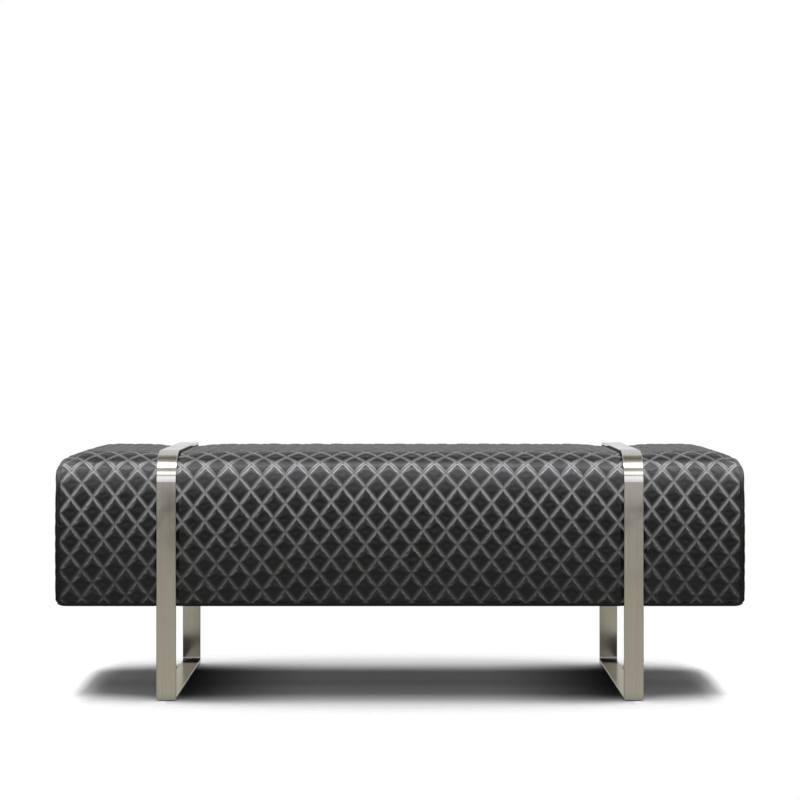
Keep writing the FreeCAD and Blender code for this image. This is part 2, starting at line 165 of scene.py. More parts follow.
# ---- meshes ----
def mesh_piece(name, points, triangles, uv=None, highlight_share=None, smooth=True):
    """Object with these points and triangles; uv gives each point's place in the lattice and the
    last argument how far the painted seam highlights reach there."""
    mesh = bpy.data.meshes.new(name)
    mesh.vertices.add(len(points))
    mesh.vertices.foreach_set("co", np.asarray(points, np.float32).ravel())
    mesh.loops.add(triangles.size)
    mesh.loops.foreach_set("vertex_index", triangles.astype(np.int32).ravel())
    mesh.polygons.add(len(triangles))
    mesh.polygons.foreach_set("loop_start", np.arange(0, triangles.size, 3, dtype=np.int32))
    mesh.update(calc_edges=True)
    mesh.polygons.foreach_set("use_smooth", np.full(len(triangles), smooth))
    if uv is not None:
        layer = mesh.uv_layers.new(name="lattice")
        layer.data.foreach_set("uv", uv[triangles.ravel()].astype(np.float32).ravel())
    if highlight_share is not None:
        mesh.attributes.new("highlight_share", "FLOAT", "POINT").data.foreach_set("value", highlight_share)
    mesh.validate()
    piece = bpy.data.objects.new(name, mesh)
    bpy.context.scene.collection.objects.link(piece)
    return piece


def grid_triangles(rows, columns, rising=None, wrap=False):
    """Two triangles for each cell of a grid of points. rising is true where a cell is split along
    its rising diagonal, and wrap joins the last column to the first."""
    index = np.arange(rows * columns).reshape(rows, columns)
    following = np.roll(index, -1, axis=1) if wrap else index[:, 1:]
    here = index if wrap else index[:, :-1]
    a, b, c, d = here[:-1], following[:-1], following[1:], here[1:]
    if rising is None:
        rising = np.ones(a.shape, bool)
    first = np.where(rising[..., None], np.stack([a, b, c], -1), np.stack([a, b, d], -1))
    second = np.where(rising[..., None], np.stack([a, c, d], -1), np.stack([b, c, d], -1))
    return np.concatenate([first.reshape(-1, 3), second.reshape(-1, 3)])


def drop_empty(points, triangles):
    """The points that are used by triangles with an area, and these triangles, renumbered."""
    a, b, c = (points[triangles[:, k]] for k in range(3))
    area = np.linalg.norm(np.cross(b - a, c - a), axis=1)
    kept = triangles[area > EMPTY_AREA]
    used, renumbered = np.unique(kept, return_inverse=True)
    return used, renumbered.reshape(-1, 3)


def dress(piece, material, slot, *replaced):
    """Gives a piece its material, lets it ride on the bench and hides what it replaces. slot is not
    used.
    """
    piece.data.materials.append(material)
    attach(piece, "root")
    if replaced:
        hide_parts(*replaced)
    return piece


def fade(distance, reach):
    """1 at distance 0, falling smoothly to 0 at reach."""
    t = np.clip(1 - distance / reach, 0, 1)
    return t * t * (3 - 2 * t)


# ---- form of the stuffed block ----
SIDE_RUN = SEAT - TOP_EDGE_RADIUS - BORDER_TOP
BEND_RUN = TOP_EDGE_RADIUS * math.pi / 2
TOP_RUN = 2 * (HALF_DEPTH - TOP_EDGE_RADIUS)
WRAP_RUN = 2 * SIDE_RUN + 2 * BEND_RUN + TOP_RUN


def around(s):
    """Point and outward direction at the distance s over the block, from the front seam of the
    border up the front, over the seat and down the rear: straight, quarter circle, straight,
    quarter circle, straight. tilt is 0 facing front, a right angle facing up."""
    first = np.clip((s - SIDE_RUN) / TOP_EDGE_RADIUS, 0, math.pi / 2)
    second = np.clip((s - SIDE_RUN - BEND_RUN - TOP_RUN) / TOP_EDGE_RADIUS, 0, math.pi / 2)
    over = np.clip(s - SIDE_RUN - BEND_RUN, 0, TOP_RUN)
    down = np.clip(s - SIDE_RUN - 2 * BEND_RUN - TOP_RUN, 0, SIDE_RUN)
    y = over - HALF_DEPTH + TOP_EDGE_RADIUS * (1 - np.cos(first) + np.sin(second))
    z = (BORDER_TOP + np.clip(s, 0, SIDE_RUN) - down
         + TOP_EDGE_RADIUS * (np.sin(first) - 1 + np.cos(second)))
    return y, z, first + second


def round_off(distance):
    """Inset of a quarter circle of the end radius, at a distance in from its flat end."""
    gone = END_EDGE_RADIUS - np.clip(distance, 0, END_EDGE_RADIUS)
    return END_EDGE_RADIUS - np.sqrt(END_EDGE_RADIUS ** 2 - gone ** 2)


def beside_bar(x):
    """Distance from the nearer edge of the nearer steel loop, 0 under the bar."""
    return np.maximum(np.abs(np.abs(x) - BAR_X) - BAR_HALF, 0)


def slump(x, s, tilt):
    """How far the stuffed block's skin lies inside its plain form: the seat is crowned between
    the loops and slopes down to the ends past a soft knee, the faces swell in a half wave, and the
    long edges are eased by a bell curve where each arc starts and by another near its end."""
    to_end = END_X - np.abs(x)
    beside = CROWN_FALL * np.exp(-(beside_bar(x) / CROWN_FALL_REACH) ** 2)
    over_knee = np.logaddexp(0, (END_FALL_REACH - to_end) / END_FALL_KNEE) * END_FALL_KNEE
    seat = beside - CROWN + END_FALL * over_knee / END_FALL_REACH
    from_foot = np.minimum(s, WRAP_RUN - s)
    ease = EDGE_EASE * np.exp(-((from_foot - SIDE_RUN) / EDGE_EASE_REACH) ** 2)
    fall = TOP_FALL * np.exp(-((from_foot - SIDE_RUN - TOP_FALL_PLACE) / TOP_FALL_REACH) ** 2)
    swell = FRONT_SWELL * np.sin(math.pi * np.clip(from_foot / SIDE_RUN, 0, 1))
    return ease + fall - swell + np.sin(tilt) ** 2 * seat


# ---- the quilting lattice ----
def lattice_grid(reach_i, end_j):
    """Lattice places to both sides of the middle, and from just below the foot's seam upwards."""
    return np.meshgrid(np.arange(-reach_i, reach_i + 1), np.arange(-2, end_j))


def lattice_place(i, j):
    """Place (x, s) on the wrap of a lattice point, counted in grid cells: regular rows that droop
    towards the ends, and diamonds that are a little narrower beyond the loops."""
    x = i * HALF_PITCH / CELLS
    beyond = np.maximum(np.abs(x) - SQUEEZE_START, 0)
    x = x - np.sign(x) * SQUEEZE * beyond
    droop = LEAN * np.maximum(np.abs(x) - LEAN_START, 0)
    return x, FIRST_ROW + j * HALF_ROW / CELLS - droop


def seams(i, j):
    """The two lattice coordinates whose whole numbers are the diagonal seams of the quilting."""
    return (i + j) / (2 * CELLS) - 0.5, (i - j) / (2 * CELLS) - 0.5


def split_along_seams(i, j):
    """True for grid cells that are split along the rising diagonal, so that edges follow seams."""
    u, v = seams(i[:-1, :-1] + 0.5, j[:-1, :-1] + 0.5)
    return np.abs(v - np.round(v)) < np.abs(u - np.round(u))


def rise(share):
    """Height over a seam at a share of the gap between seams: it settles like an exponential."""
    return 1 - np.exp(-np.abs(share - np.round(share)) * SEAM_GAP / PUFF_REACH)


def stuffed_diamonds():
    """Shapes of stuffed diamonds: for each, how far every grid point of a diamond lies over the
    flat lattice, as (across, along, out). A sheet of leather, a little larger than its lattice, is
    held along the seams and pressed out by the padding in a cloth simulation. It starts from the
    product of both families' rises."""
    count = 2 * CELLS * PATCH
    i, j = np.meshgrid(np.arange(count + 1), np.arange(count + 1))
    u, v = seams(i, j)
    held = (np.round(u) == u) | (np.round(v) == v)
    unevenness = np.random.default_rng(3).normal(0, UNEVENNESS, u.shape)
    out = PUFF_HEIGHT * (rise(u) * rise(v) - 1) + np.where(held, 0, unevenness)
    start = np.stack([i * HALF_PITCH / CELLS, j * HALF_ROW / CELLS, out], -1)
    settled = start.copy()
    triangles = grid_triangles(*i.shape, rising=split_along_seams(i, j))
    sheet = mesh_piece("leather_sheet", start.reshape(-1, 3), triangles)
    stitched = sheet.vertex_groups.new(name="stitched")
    stitched.add(np.flatnonzero(held).tolist(), 1.0, "REPLACE")
    stitched.add(np.flatnonzero(~held).tolist(), PADDING_HOLD, "REPLACE")
    settled = settle_cloth(sheet, stitched.name).reshape(start.shape)
    moved = settled - start
    moved[..., 2] += out + PUFF_HEIGHT
    middles = [(row, column) for row in range(1, 2 * PATCH) for column in range(1, 2 * PATCH)
               if (row + column) % 2 == 0]
    shapes = [moved[CELLS * (r - 1):CELLS * (r + 1) + 1, CELLS * (c - 1):CELLS * (c + 1) + 1]
              for r, c in middles]
    return np.clip(np.array(shapes), -PUFF_LIMIT, PUFF_LIMIT)


def settle_cloth(piece, held_group):
    """Runs the cloth simulation of a sheet, takes its points and clears the piece away."""
    cloth = piece.modifiers.new("leather", "CLOTH").settings
    cloth.vertex_group_mass = held_group
    cloth.quality = 8
    cloth.mass = 0.3
    cloth.tension_stiffness = 15
    cloth.compression_stiffness = 15
    cloth.bending_stiffness = 15
    cloth.air_damping = 2
    cloth.shrink_min = -LEATHER_SLACK
    cloth.use_pressure = True
    cloth.uniform_pressure_force = PADDING_PRESSURE
    cloth.effector_weights.gravity = 0
    scene = bpy.context.scene
    for step in range(1, CLOTH_STEPS + 1):
        scene.frame_set(step)
    shaped = piece.evaluated_get(bpy.context.evaluated_depsgraph_get())
    points = np.empty(3 * len(piece.data.vertices), np.float32)
    shaped.data.vertices.foreach_get("co", points)
    scene.frame_set(1)
    mesh = piece.data
    bpy.data.objects.remove(piece)
    bpy.data.meshes.remove(mesh)
    return points.astype(float)


diamonds = stuffed_diamonds()
choices = np.random.default_rng(11).integers(0, len(diamonds), (PICKS, PICKS))
tufts = np.random.default_rng(11).normal(1, TUFT_SPREAD, (PICKS, PICKS))


def puff(i, j):
    """How the padding moves a lattice point (across, along, out): each diamond takes one of the
    stuffed shapes, a little fuller or flatter than the next."""
    u, v = seams(i, j)
    row, column = np.floor(u).astype(int), np.floor(v).astype(int)
    cell = (row % PICKS, column % PICKS)
    middle_i, middle_j = CELLS * (row + column + 2), CELLS * (row - column)
    shape = diamonds[choices[cell], j - middle_j + CELLS, i - middle_i + CELLS]
    return shape * tufts[cell][..., None]


def wrap_skin(i, j, stuffed):
    """Points of the quilted wrap at lattice places: the plain form, less its slump and a channel
    under each steel loop, moved by the padding, with its edges tucked into the seams."""
    x, s = lattice_place(i, j)
    loose = 1 - fade(np.minimum(SEAM_X - np.abs(x), beside_bar(x)), BAR_BITE_REACH)
    x = np.clip(x + stuffed[..., 0] * loose, -SEAM_X, SEAM_X)
    s = np.clip(s + stuffed[..., 1] * loose, 0, WRAP_RUN)
    y, z, tilt = around(s)
    padding = PUFF_HEIGHT - stuffed[..., 2]
    pressed = fade(beside_bar(x), BAR_BITE_REACH)
    plain = slump(x, s, tilt)
    inset = (plain + padding) * (1 - pressed) + np.maximum(plain, BAR_BITE) * pressed
    drawn = fade(np.minimum(np.minimum(SEAM_X - np.abs(x), s), WRAP_RUN - s), SEAM_REACH)
    inset = inset * (1 - drawn) + (plain + SEAM_DEPTH) * drawn
    foot = round_off(z - BODY_BOTTOM)
    x = x - np.sign(x) * foot * fade(SEAM_X - np.abs(x), 3 * END_EDGE_RADIUS)
    return np.stack([x, y + inset * np.cos(tilt), z - inset * np.sin(tilt)], -1)


def quilted_mesh(name, i, j, points, from_seam, calm):
    """A quilted piece over a grid of lattice places, without its empty triangles. Its painted seam
    highlights come in over a calm distance from the seams."""
    points = points.reshape(-1, 3)
    triangles = grid_triangles(*i.shape, rising=split_along_seams(i, j))
    used, triangles = drop_empty(points, triangles)
    uv = np.stack(seams(i, j), -1).reshape(-1, 2)
    highlight_share = 1 - fade(from_seam.ravel()[used], calm)
    return mesh_piece(name, points[used], triangles, uv[used], highlight_share)


def wrap_mesh():
    """The wrap over its whole lattice, clamped to its four seams."""
    reach_i = math.ceil((SEAM_X * (1 + SQUEEZE)) / HALF_PITCH * CELLS) + 1
    end_j = math.ceil((WRAP_RUN + LEAN * SEAM_X) / HALF_ROW * CELLS) + 1
    i, j = lattice_grid(reach_i, end_j)
    points = wrap_skin(i, j, puff(i, j))
    return quilted_mesh("quilted_cover", i, j, points, SEAM_X - np.abs(points[..., 0]), 4 * MM)


# ---- end panels ----
def panel_outline():
    """Outline of an end panel seen along X: the wrap's edge at its seam, closed along the foot."""
    s = np.linspace(0, WRAP_RUN, 400)
    y, z, tilt = around(s)
    inset = slump(np.full_like(s, SEAM_X), s, tilt) + SEAM_DEPTH - SEAM_TUCK
    return np.stack([y + inset * np.cos(tilt), z - inset * np.sin(tilt)], -1)


def nearest_on(outline, places):
    """For each place: its signed distance to the closed outline, positive inside, the nearest
    point of it, and the distance to the outline without its closing side."""
    start, end = outline, np.roll(outline, -1, axis=0)
    along = end - start
    length2 = (along ** 2).sum(1)
    best = np.full(len(places), np.inf)
    nearest = np.zeros_like(places)
    inside = np.zeros(len(places), bool)
    for a, d, l2 in zip(start, along, length2):
        t = np.clip(((places - a) @ d) / l2, 0, 1)
        point = a + t[:, None] * d
        gap = ((places - point) ** 2).sum(1)
        open_gap = best.copy()
        closer = gap < best
        best = np.where(closer, gap, best)
        nearest = np.where(closer[:, None], point, nearest)
        crosses = (a[1] > places[:, 1]) != (a[1] + d[1] > places[:, 1])
        at = a[0] + d[0] * (places[:, 1] - a[1]) / (d[1] if d[1] else 1)
        inside ^= crosses & (places[:, 0] < at)
    return np.where(inside, 1, -1) * np.sqrt(best), nearest, np.sqrt(open_gap)


panel_edge = panel_outline()
PANEL_SEAM_X = SEAM_X - SEAM_TUCK


def panel_skin(i, j, stuffed, side):
    """Points of an end panel at lattice places: the same lattice over its outline, swelling like a
    quarter ellipse from its seam with the wrap and tucked in along the foot, with places beyond
    the outline moved onto it. Also the depth inside the outline and from the wrap's seam."""
    places = np.stack([i * HALF_PITCH / CELLS, BORDER_TOP + FIRST_ROW + j * HALF_ROW / CELLS], -1)
    depth, nearest, _ = nearest_on(panel_edge, places.reshape(-1, 2))
    depth, nearest = depth.reshape(i.shape), nearest.reshape(places.shape)
    flat = np.where((depth > 0)[..., None], places, nearest)
    off_side = nearest_on(panel_edge, flat.reshape(-1, 2))[2].reshape(i.shape)
    inside = np.clip(off_side, 0, CORNER_RADIUS)
    swell = END_SWELL * np.sqrt(1 - (1 - inside / CORNER_RADIUS) ** 2)
    padding = (PUFF_HEIGHT - stuffed[..., 2]) * (1 - fade(np.maximum(depth, 0), PANEL_CALM))
    foot = round_off(flat[..., 1] - BODY_BOTTOM)
    tucked = SEAM_TUCK * fade(flat[..., 1] - BORDER_TOP, SEAM_REACH)
    x = PANEL_SEAM_X + swell - padding - foot - tucked
    return np.stack([side * x, side * flat[..., 0], flat[..., 1]], -1), depth, off_side


def panel_mesh(name, side):
    """A quilted end panel over its whole lattice."""
    reach_i = math.ceil(HALF_DEPTH / HALF_PITCH * CELLS) + 1
    end_j = math.ceil((SEAT - BORDER_TOP) / HALF_ROW * CELLS) + 1
    i, j = lattice_grid(reach_i, end_j)
    points, _, off_side = panel_skin(i, j, puff(i, j), side)
    return quilted_mesh(name, i, j, points, off_side, PANEL_CALM)


# ---- quilting thread ----
def seam_places(low_i, high_i, low_j, high_j):
    """Lattice places of the middles of all stitches in a range, and the lattice step along each
    stitch: equal steps along every diagonal of both families."""
    lines = np.arange(-DIAGONALS, DIAGONALS) * 2 * CELLS + CELLS
    steps = np.arange(low_i, high_i, STITCH_PITCH)
    step, line = np.meshgrid(steps, lines)
    middles, along = [], []
    for way in (-1, 1):
        rows = way * (step - line)
        kept = (rows > low_j) & (rows < high_j)
        middles.append(np.stack([step[kept], rows[kept]], -1))
        along.append(np.tile([1.0, float(way)], (kept.sum(), 1)))
    return np.concatenate(middles), np.concatenate(along)


def spindles(start, end, outward, radius):
    """Points and triangles of stitches: each a four-sided spindle that tapers to both its ends."""
    middle = (start + end) / 2 + outward * radius * 0.6
    length = end - start
    across = np.cross(length, outward)
    across *= radius / np.linalg.norm(across, axis=1, keepdims=True)
    lift = outward * radius
    ring = [middle + across, middle + lift, middle - across, middle - lift]
    points = np.stack([start, end, *ring], 1)
    pattern = np.array([[0, 2, 3], [0, 3, 4], [0, 4, 5], [0, 5, 2],
                        [1, 3, 2], [1, 4, 3], [1, 5, 4], [1, 2, 5]])
    triangles = pattern[None] + 6 * np.arange(len(points))[:, None, None]
    return points.reshape(-1, 3), triangles.reshape(-1, 3)


def thread_on(skin, middles, along, keep):
    """Stitches laid on a skin: both ends of each lie on it, and outwards comes from its slope."""
    none = np.zeros((len(middles), 3))
    half = STITCH_SHARE * STITCH_PITCH / 2
    ends = [skin(*(middles + sign * half * along).T, none) for sign in (-1, 1)]
    aside = [skin(*(middles + sign * along * [1, -1]).T, none) for sign in (-0.5, 0.5)]
    outward = np.cross(ends[1] - ends[0], aside[1] - aside[0])
    outward *= np.sign(along[:, 1:2])
    size = np.linalg.norm(outward, axis=1)
    kept = keep(middles) & (size > 1e-9)
    outward = outward[kept] / size[kept, None]
    sunk = outward * THREAD_RADIUS * 0.3
    return spindles(ends[0][kept] - sunk, ends[1][kept] - sunk, outward, THREAD_RADIUS)


def quilting_thread():
    """All stitches of the wrap but those hidden under the loops, and those of both panels."""
    def on_wrap(places):
        x, s = lattice_place(*places.T)
        from_edge = np.minimum(np.minimum(SEAM_X - np.abs(x), s), WRAP_RUN - s)
        return (from_edge > SEAM_STITCH_GAP) & (beside_bar(x) > BAR_STITCH_GAP)

    top = WRAP_RUN / HALF_ROW * CELLS
    wide = 1.05 * SEAM_X / HALF_PITCH * CELLS
    parts = [thread_on(wrap_skin, *seam_places(-wide, wide, -2, top + 12), on_wrap)]
    aside, up = PANEL_CELLS
    middles, along = seam_places(-aside, aside, -2, up)
    for side in (-1, 1):
        depth = panel_skin(*middles.T, np.zeros((len(middles), 3)), side)[1]
        parts.append(thread_on(
            lambda i, j, none: panel_skin(i, j, none, side)[0], middles, along,
            lambda places: depth > PANEL_STITCH_GAP))
    starts = np.cumsum([0] + [len(points) for points, _ in parts])
    return mesh_piece("quilting_thread", np.concatenate([points for points, _ in parts]),
                      np.concatenate([t + start for (_, t), start in zip(parts, starts)]))


# ---- border along the foot ----
def foot_path():
    """Plan of the block's foot: quarter circles joined by straight sides. Gives each point and the
    outward direction there. The long sides have more points beside and under the loops."""
    end_x = PANEL_SEAM_X + END_SWELL
    half_x, half_y = end_x - CORNER_RADIUS, HALF_DEPTH - CORNER_RADIUS
    turns = np.linspace(0, math.pi / 2, 13)
    long_run = np.unique(np.concatenate([
        np.linspace(-half_x, half_x, 320),
        *[c + np.linspace(-2, 2, 33) * BAR_HALF for c in (-BAR_X, BAR_X)]]))[1:-1]
    short_run = np.linspace(-half_y, half_y, 40)[1:-1]
    places, outward = [], []
    for quarter, facing in enumerate(np.array([(0, 1), (-1, 0), (0, -1), (1, 0)], float)):
        reach, half, run = ((HALF_DEPTH, half_x, long_run), (end_x, half_y, short_run))[quarter % 2]
        along = np.array([-facing[1], facing[0]])
        angle = turns + quarter * math.pi / 2
        turning = np.stack([np.cos(angle), np.sin(angle)], -1)
        centre = facing * (reach - CORNER_RADIUS) - along * half
        places += [centre + CORNER_RADIUS * turning, facing * reach + along * run[:, None]]
        outward += [turning, np.tile(facing, (len(run), 1))]
    return np.concatenate(places), np.concatenate(outward)


def border_mesh():
    """Plain border: a strip tucked into the seam above, coming out in a quarter wave, rounding
    under the foot and running in as a flat hem to its raw edge."""
    path, outward = foot_path()
    t = np.linspace(0, 1, 15)
    face_in = SEAM_DEPTH * (1 - np.sin(math.pi / 2 * np.clip(t / 0.35, 0, 1)))
    low = BORDER_TOP - t * (BORDER_TOP - BODY_BOTTOM)
    under = np.clip(1 - (low - BODY_BOTTOM) / BORDER_ROUNDING, 0, 1)
    face_in = face_in + BORDER_ROUNDING * (1 - np.sqrt(1 - under ** 2))
    hem_in = np.array([0.35, 0.6, 1.0]) * HEM_WIDTH
    inset = np.concatenate([[SEAM_DEPTH * 2], face_in, hem_in])
    z = np.concatenate([[BORDER_TOP + SEAM_TUCK], low, np.full(3, BODY_BOTTOM)])
    end_in = round_off(z - BODY_BOTTOM)
    pressed = fade(beside_bar(path[:, 0]), BAR_BITE_REACH)
    depth = inset[:, None] + BAR_BITE * pressed
    flat = path[None] - depth[..., None] * outward[None]
    from_end = np.maximum(SEAM_X - np.abs(path[:, 0]), 0)
    flat[..., 0] -= end_in[:, None] * np.sign(path[:, 0]) * fade(from_end, 3 * END_EDGE_RADIUS)
    points = np.concatenate([flat, np.broadcast_to(z[:, None, None], flat.shape[:2] + (1,))], -1)
    triangles = grid_triangles(len(z), len(path), wrap=True)[:, ::-1]
    used, triangles = drop_empty(points.reshape(-1, 3), triangles)
    return mesh_piece("foot_border", points.reshape(-1, 3)[used], triangles)


# ---- inside and underneath ----
def slab_mesh(name, x, y, top, bottom, smooth):
    """A closed slab over a grid in plan, between the heights of its top and its bottom."""
    points = [np.stack([x, y, z], -1).reshape(-1, 3) for z in (top, bottom)]
    count = x.size
    index = np.arange(count).reshape(x.shape)
    ring = np.concatenate([index[0, :-1], index[:-1, -1], index[-1, :0:-1], index[:0:-1, 0]])
    following = np.roll(ring, -1)
    sheet = grid_triangles(*x.shape)
    triangles = [sheet, sheet[:, ::-1] + count,
                 np.stack([ring + count, following + count, following], -1),
                 np.stack([ring + count, following, ring], -1)]
    return mesh_piece(name, np.concatenate(points), np.concatenate(triangles), smooth=smooth)


def foam_mesh(name, node):
    """A foam pad in the place of its solid: over a grid in plan, its top is the lower of the
    solid's top and the cover's inner side there, eased down round its upper edges."""
    low, high = (np.array(corner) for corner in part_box(node))
    rim = np.array([0, 0.6, 2, 4.5, 8]) * MM
    runs = []
    for a, b in zip(low[:2], high[:2]):
        middle = np.linspace(a + rim[-1], b - rim[-1], max(3, int((b - a) / FOAM_CELL)))
        runs.append(np.unique(np.concatenate([a + rim, middle, b - rim]).round(6)))
    x, y = np.meshgrid(*runs)
    over = np.abs(y) - (HALF_DEPTH - TOP_EDGE_RADIUS)
    arc = TOP_EDGE_RADIUS - FOAM_CLEARANCE
    form = SEAT - TOP_EDGE_RADIUS + np.sqrt(np.maximum(arc ** 2 - np.maximum(over, 0) ** 2, 0))
    turned = np.arcsin(np.clip(over / TOP_EDGE_RADIUS, 0, 1))
    s = SIDE_RUN + BEND_RUN - np.where(over > 0, turned * TOP_EDGE_RADIUS, over)
    sunk = np.maximum(slump(x, s, math.pi / 2 - turned), 0)
    inner = form - sunk / np.maximum(np.cos(turned), 0.3)
    edge = np.minimum(np.minimum(x - low[0], high[0] - x), np.minimum(y - low[1], high[1] - y))
    eased = FOAM_EDGE - np.sqrt(FOAM_EDGE ** 2 - (FOAM_EDGE - np.clip(edge, 0, FOAM_EDGE)) ** 2)
    top = np.maximum(np.minimum(high[2] - eased, inner), low[2] + FOAM_EDGE)
    return slab_mesh(name, x, y, top, np.full_like(x, low[2]), smooth=False)


def lining_mesh():
    """The dust cloth: a thin sheet drawn tight, which sags a little between its stapled edges,
    with shallow folds that run in from the staples."""
    low, high = cloth_low, cloth_high
    x, y = np.meshgrid(np.linspace(low[0], high[0], 261), np.linspace(low[1], high[1], 81))
    edge_x, edge_y = high[0] - np.abs(x), high[1] - np.abs(y)
    edge = np.minimum(edge_x, edge_y)
    along = np.where(edge_x < edge_y, y, x)
    fold = np.cos(along / STAPLE_PITCH * 2 * math.pi)
    fold = fold * fade(edge, FOLD_REACH) * fade(8 * MM - edge, 8 * MM)
    sag = LINING_SAG * (1 - (x / high[0]) ** 4) * (1 - (y / high[1]) ** 2)
    bottom = high[2] - LINING_THICKNESS - sag * 0.5 - FOLD_DEPTH * (1 + fold)
    bottom = np.maximum(bottom, low[2])
    return slab_mesh("bottom_lining", x, y, bottom + LINING_THICKNESS, bottom, smooth=True)


def staples_mesh():
    """Staple crowns along the lining's edge: flat bars laid along it, each a six-sided block."""
    reach_x, reach_y = cloth_high.x - STAPLE_INSET, cloth_high.y - STAPLE_INSET
    long_run = np.arange(20 * MM - reach_x, reach_x - 10 * MM, STAPLE_PITCH)
    short_run = np.arange(25 * MM - reach_y, reach_y - 10 * MM, STAPLE_PITCH)
    spots = [(x, side * reach_y, 0) for side in (-1, 1) for x in long_run]
    spots += [(side * reach_x, y, 1) for side in (-1, 1) for y in short_run]
    spots = np.array(spots)
    turned = spots[:, 2:] > 0.5
    lean = np.random.default_rng(5).normal(0, 0.12, (len(spots), 1))
    along = np.where(turned, np.hstack([-lean, 1 + 0 * lean]), np.hstack([1 + 0 * lean, lean]))
    across = np.stack([-along[:, 1], along[:, 0]], -1)
    corners = []
    top, bottom = cloth_high.z - LINING_THICKNESS, cloth_low.z + 0.02 * MM
    for level, ease in ((top, 0), (bottom, STAPLE_EASE)):
        for a, c in ((-1, -1), (1, -1), (1, 1), (-1, 1)):
            flat = (spots[:, :2] + along * a * (STAPLE_REACH - ease)
                    + across * c * (STAPLE_HALF_WIDTH - ease / 2))
            corners.append(np.hstack([flat, np.full((len(spots), 1), level)]))
    points = np.stack(corners, 1).reshape(-1, 3)
    quads = [(0, 1, 5, 4), (1, 2, 6, 5), (2, 3, 7, 6), (3, 0, 4, 7), (4, 5, 6, 7), (3, 2, 1, 0)]
    pattern = np.array([[q[k] for k in order] for q in quads for order in ((0, 2, 1), (0, 3, 2))])
    triangles = pattern[None] + 8 * np.arange(len(spots))[:, None, None]
    return mesh_piece("lining_staples", points, triangles.reshape(-1, 3), smooth=False)


# ---- material helpers ----
def put(tree, socket, value):
    """Sets one input from a value or from another node's output."""
    if isinstance(value, bpy.types.NodeSocket):
        tree.links.new(value, socket)
    else:
        socket.default_value = value


def feed(tree, node, **inputs):
    """Sets a node's inputs by their names, with _ for a space."""
    for name, value in inputs.items():
        put(tree, node.inputs[name.replace("_", " ")], value)


def add(tree, kind, settings=None, **inputs):
    """A node with its settings and inputs."""
    made = tree.nodes.new(kind)
    for name, value in (settings or {}).items():
        setattr(made, name, value)
    feed(tree, made, **inputs)
    return made


def calc(tree, operation, *values, kind="ShaderNodeMath"):
    """A Math node, or one of this kind, over one to three values or outputs."""
    made = add(tree, kind, {"operation": operation})
    for socket, value in zip(made.inputs, values):
        put(tree, socket, value)
    return made.outputs[0]


def product(tree, *values):
    """Values or outputs multiplied together."""
    total = values[0]
    for value in values[1:]:
        total = calc(tree, "MULTIPLY", total, value)
    return total


def spread(tree, value, low, high, to_low=0.0, to_high=1.0):
    """A value mapped from one range to another, smoothly and within it."""
    made = add(tree, "ShaderNodeMapRange", {"interpolation_type": "SMOOTHSTEP"}, Value=value,
               From_Min=low, From_Max=high, To_Min=to_low, To_Max=to_high)
    return made.outputs["Result"]


def blend_colours(tree, share, first, second):
    """Colour between two colours."""
    made = add(tree, "ShaderNodeMix", {"data_type": "RGBA"})
    for place, value in ((MIX_SHARE, share), (MIX_FIRST, first), (MIX_SECOND, second)):
        put(tree, made.inputs[place], value)
    return made.outputs[MIX_RESULT]


def noise(tree, place, scale, detail, **more):
    """Noise of this scale over a place, as a value."""
    made = add(tree, "ShaderNodeTexNoise", Vector=place, Scale=scale, Detail=detail, **more)
    return made.outputs[0]


def stretched(tree, place, factors):
    """A place with each of its parts multiplied by a factor."""
    return calc(tree, "MULTIPLY", place, factors, kind="ShaderNodeVectorMath")


def apart(tree, place):
    """The three parts of a place."""
    return add(tree, "ShaderNodeSeparateXYZ", Vector=place).outputs


def bump(tree, height, distance, strength=1.0, **under):
    """A normal bent by a height, over an optional Normal below it."""
    return add(tree, "ShaderNodeBump", Height=height, Distance=distance, Strength=strength,
               **under).outputs[0]


def group(name, *results):
    """A node group from a place to these results, its place socket and its output node."""
    tree = bpy.data.node_groups.new(name, "ShaderNodeTree")
    tree.interface.new_socket("Place", in_out="INPUT", socket_type="NodeSocketVector")
    for label in results:
        tree.interface.new_socket(label, in_out="OUTPUT", socket_type="NodeSocketFloat")
    return tree, tree.nodes.new("NodeGroupInput").outputs[0], tree.nodes.new("NodeGroupOutput")


def start_material(name, **numbers):
    """A material with a Principled BSDF that has these numbers, and its texture coordinates."""
    material = bpy.data.materials.new(name)
    material.use_nodes = True
    tree = material.node_tree
    shader = tree.nodes["Principled BSDF"]
    feed(tree, shader, **numbers)
    return material, tree, shader, tree.nodes.new("ShaderNodeTexCoord").outputs


def grey(level, warmth=0.0):
    """Grey of a linear level, with its red raised and its blue lowered by the warmth."""
    return (level * (1 + warmth), level, level * (1 - warmth), 1.0)


# ---- shared effects ----
def leather_grain_group():
    """Pebbled grain: rounded cells parted by fine creases, on slow waves of the hide."""
    tree, place, out = group("leather grain", "Height", "Cloud")
    cells = add(tree, "ShaderNodeTexVoronoi", {"feature": "DISTANCE_TO_EDGE"}, Vector=place,
                Scale=800.0)
    crease = spread(tree, cells.outputs["Distance"], 0.0, 0.14, 1.0, 0.0)
    fine = product(tree, noise(tree, place, 2600.0, 3.0), 0.35)
    feed(tree, out, Height=calc(tree, "SUBTRACT", fine, crease),
         Cloud=noise(tree, place, 28.0, 4.0))
    return tree


def brushing_group():
    """Fine straight scratches along a bar that lies in the YZ plane, of two lengths."""
    tree, place, out = group("brushing", "Streak", "Long streak", "Smudge")
    drawn = stretched(tree, place, (1.0, 0.012, 0.012))
    feed(tree, out, Streak=noise(tree, drawn, 1400.0, 4.0, Roughness=0.7),
         Long_streak=noise(tree, drawn, 308.0, 2.0), Smudge=noise(tree, place, 14.0, 3.0))
    return tree


# ---- materials ----
leather_grain = leather_grain_group()
brushing = brushing_group()


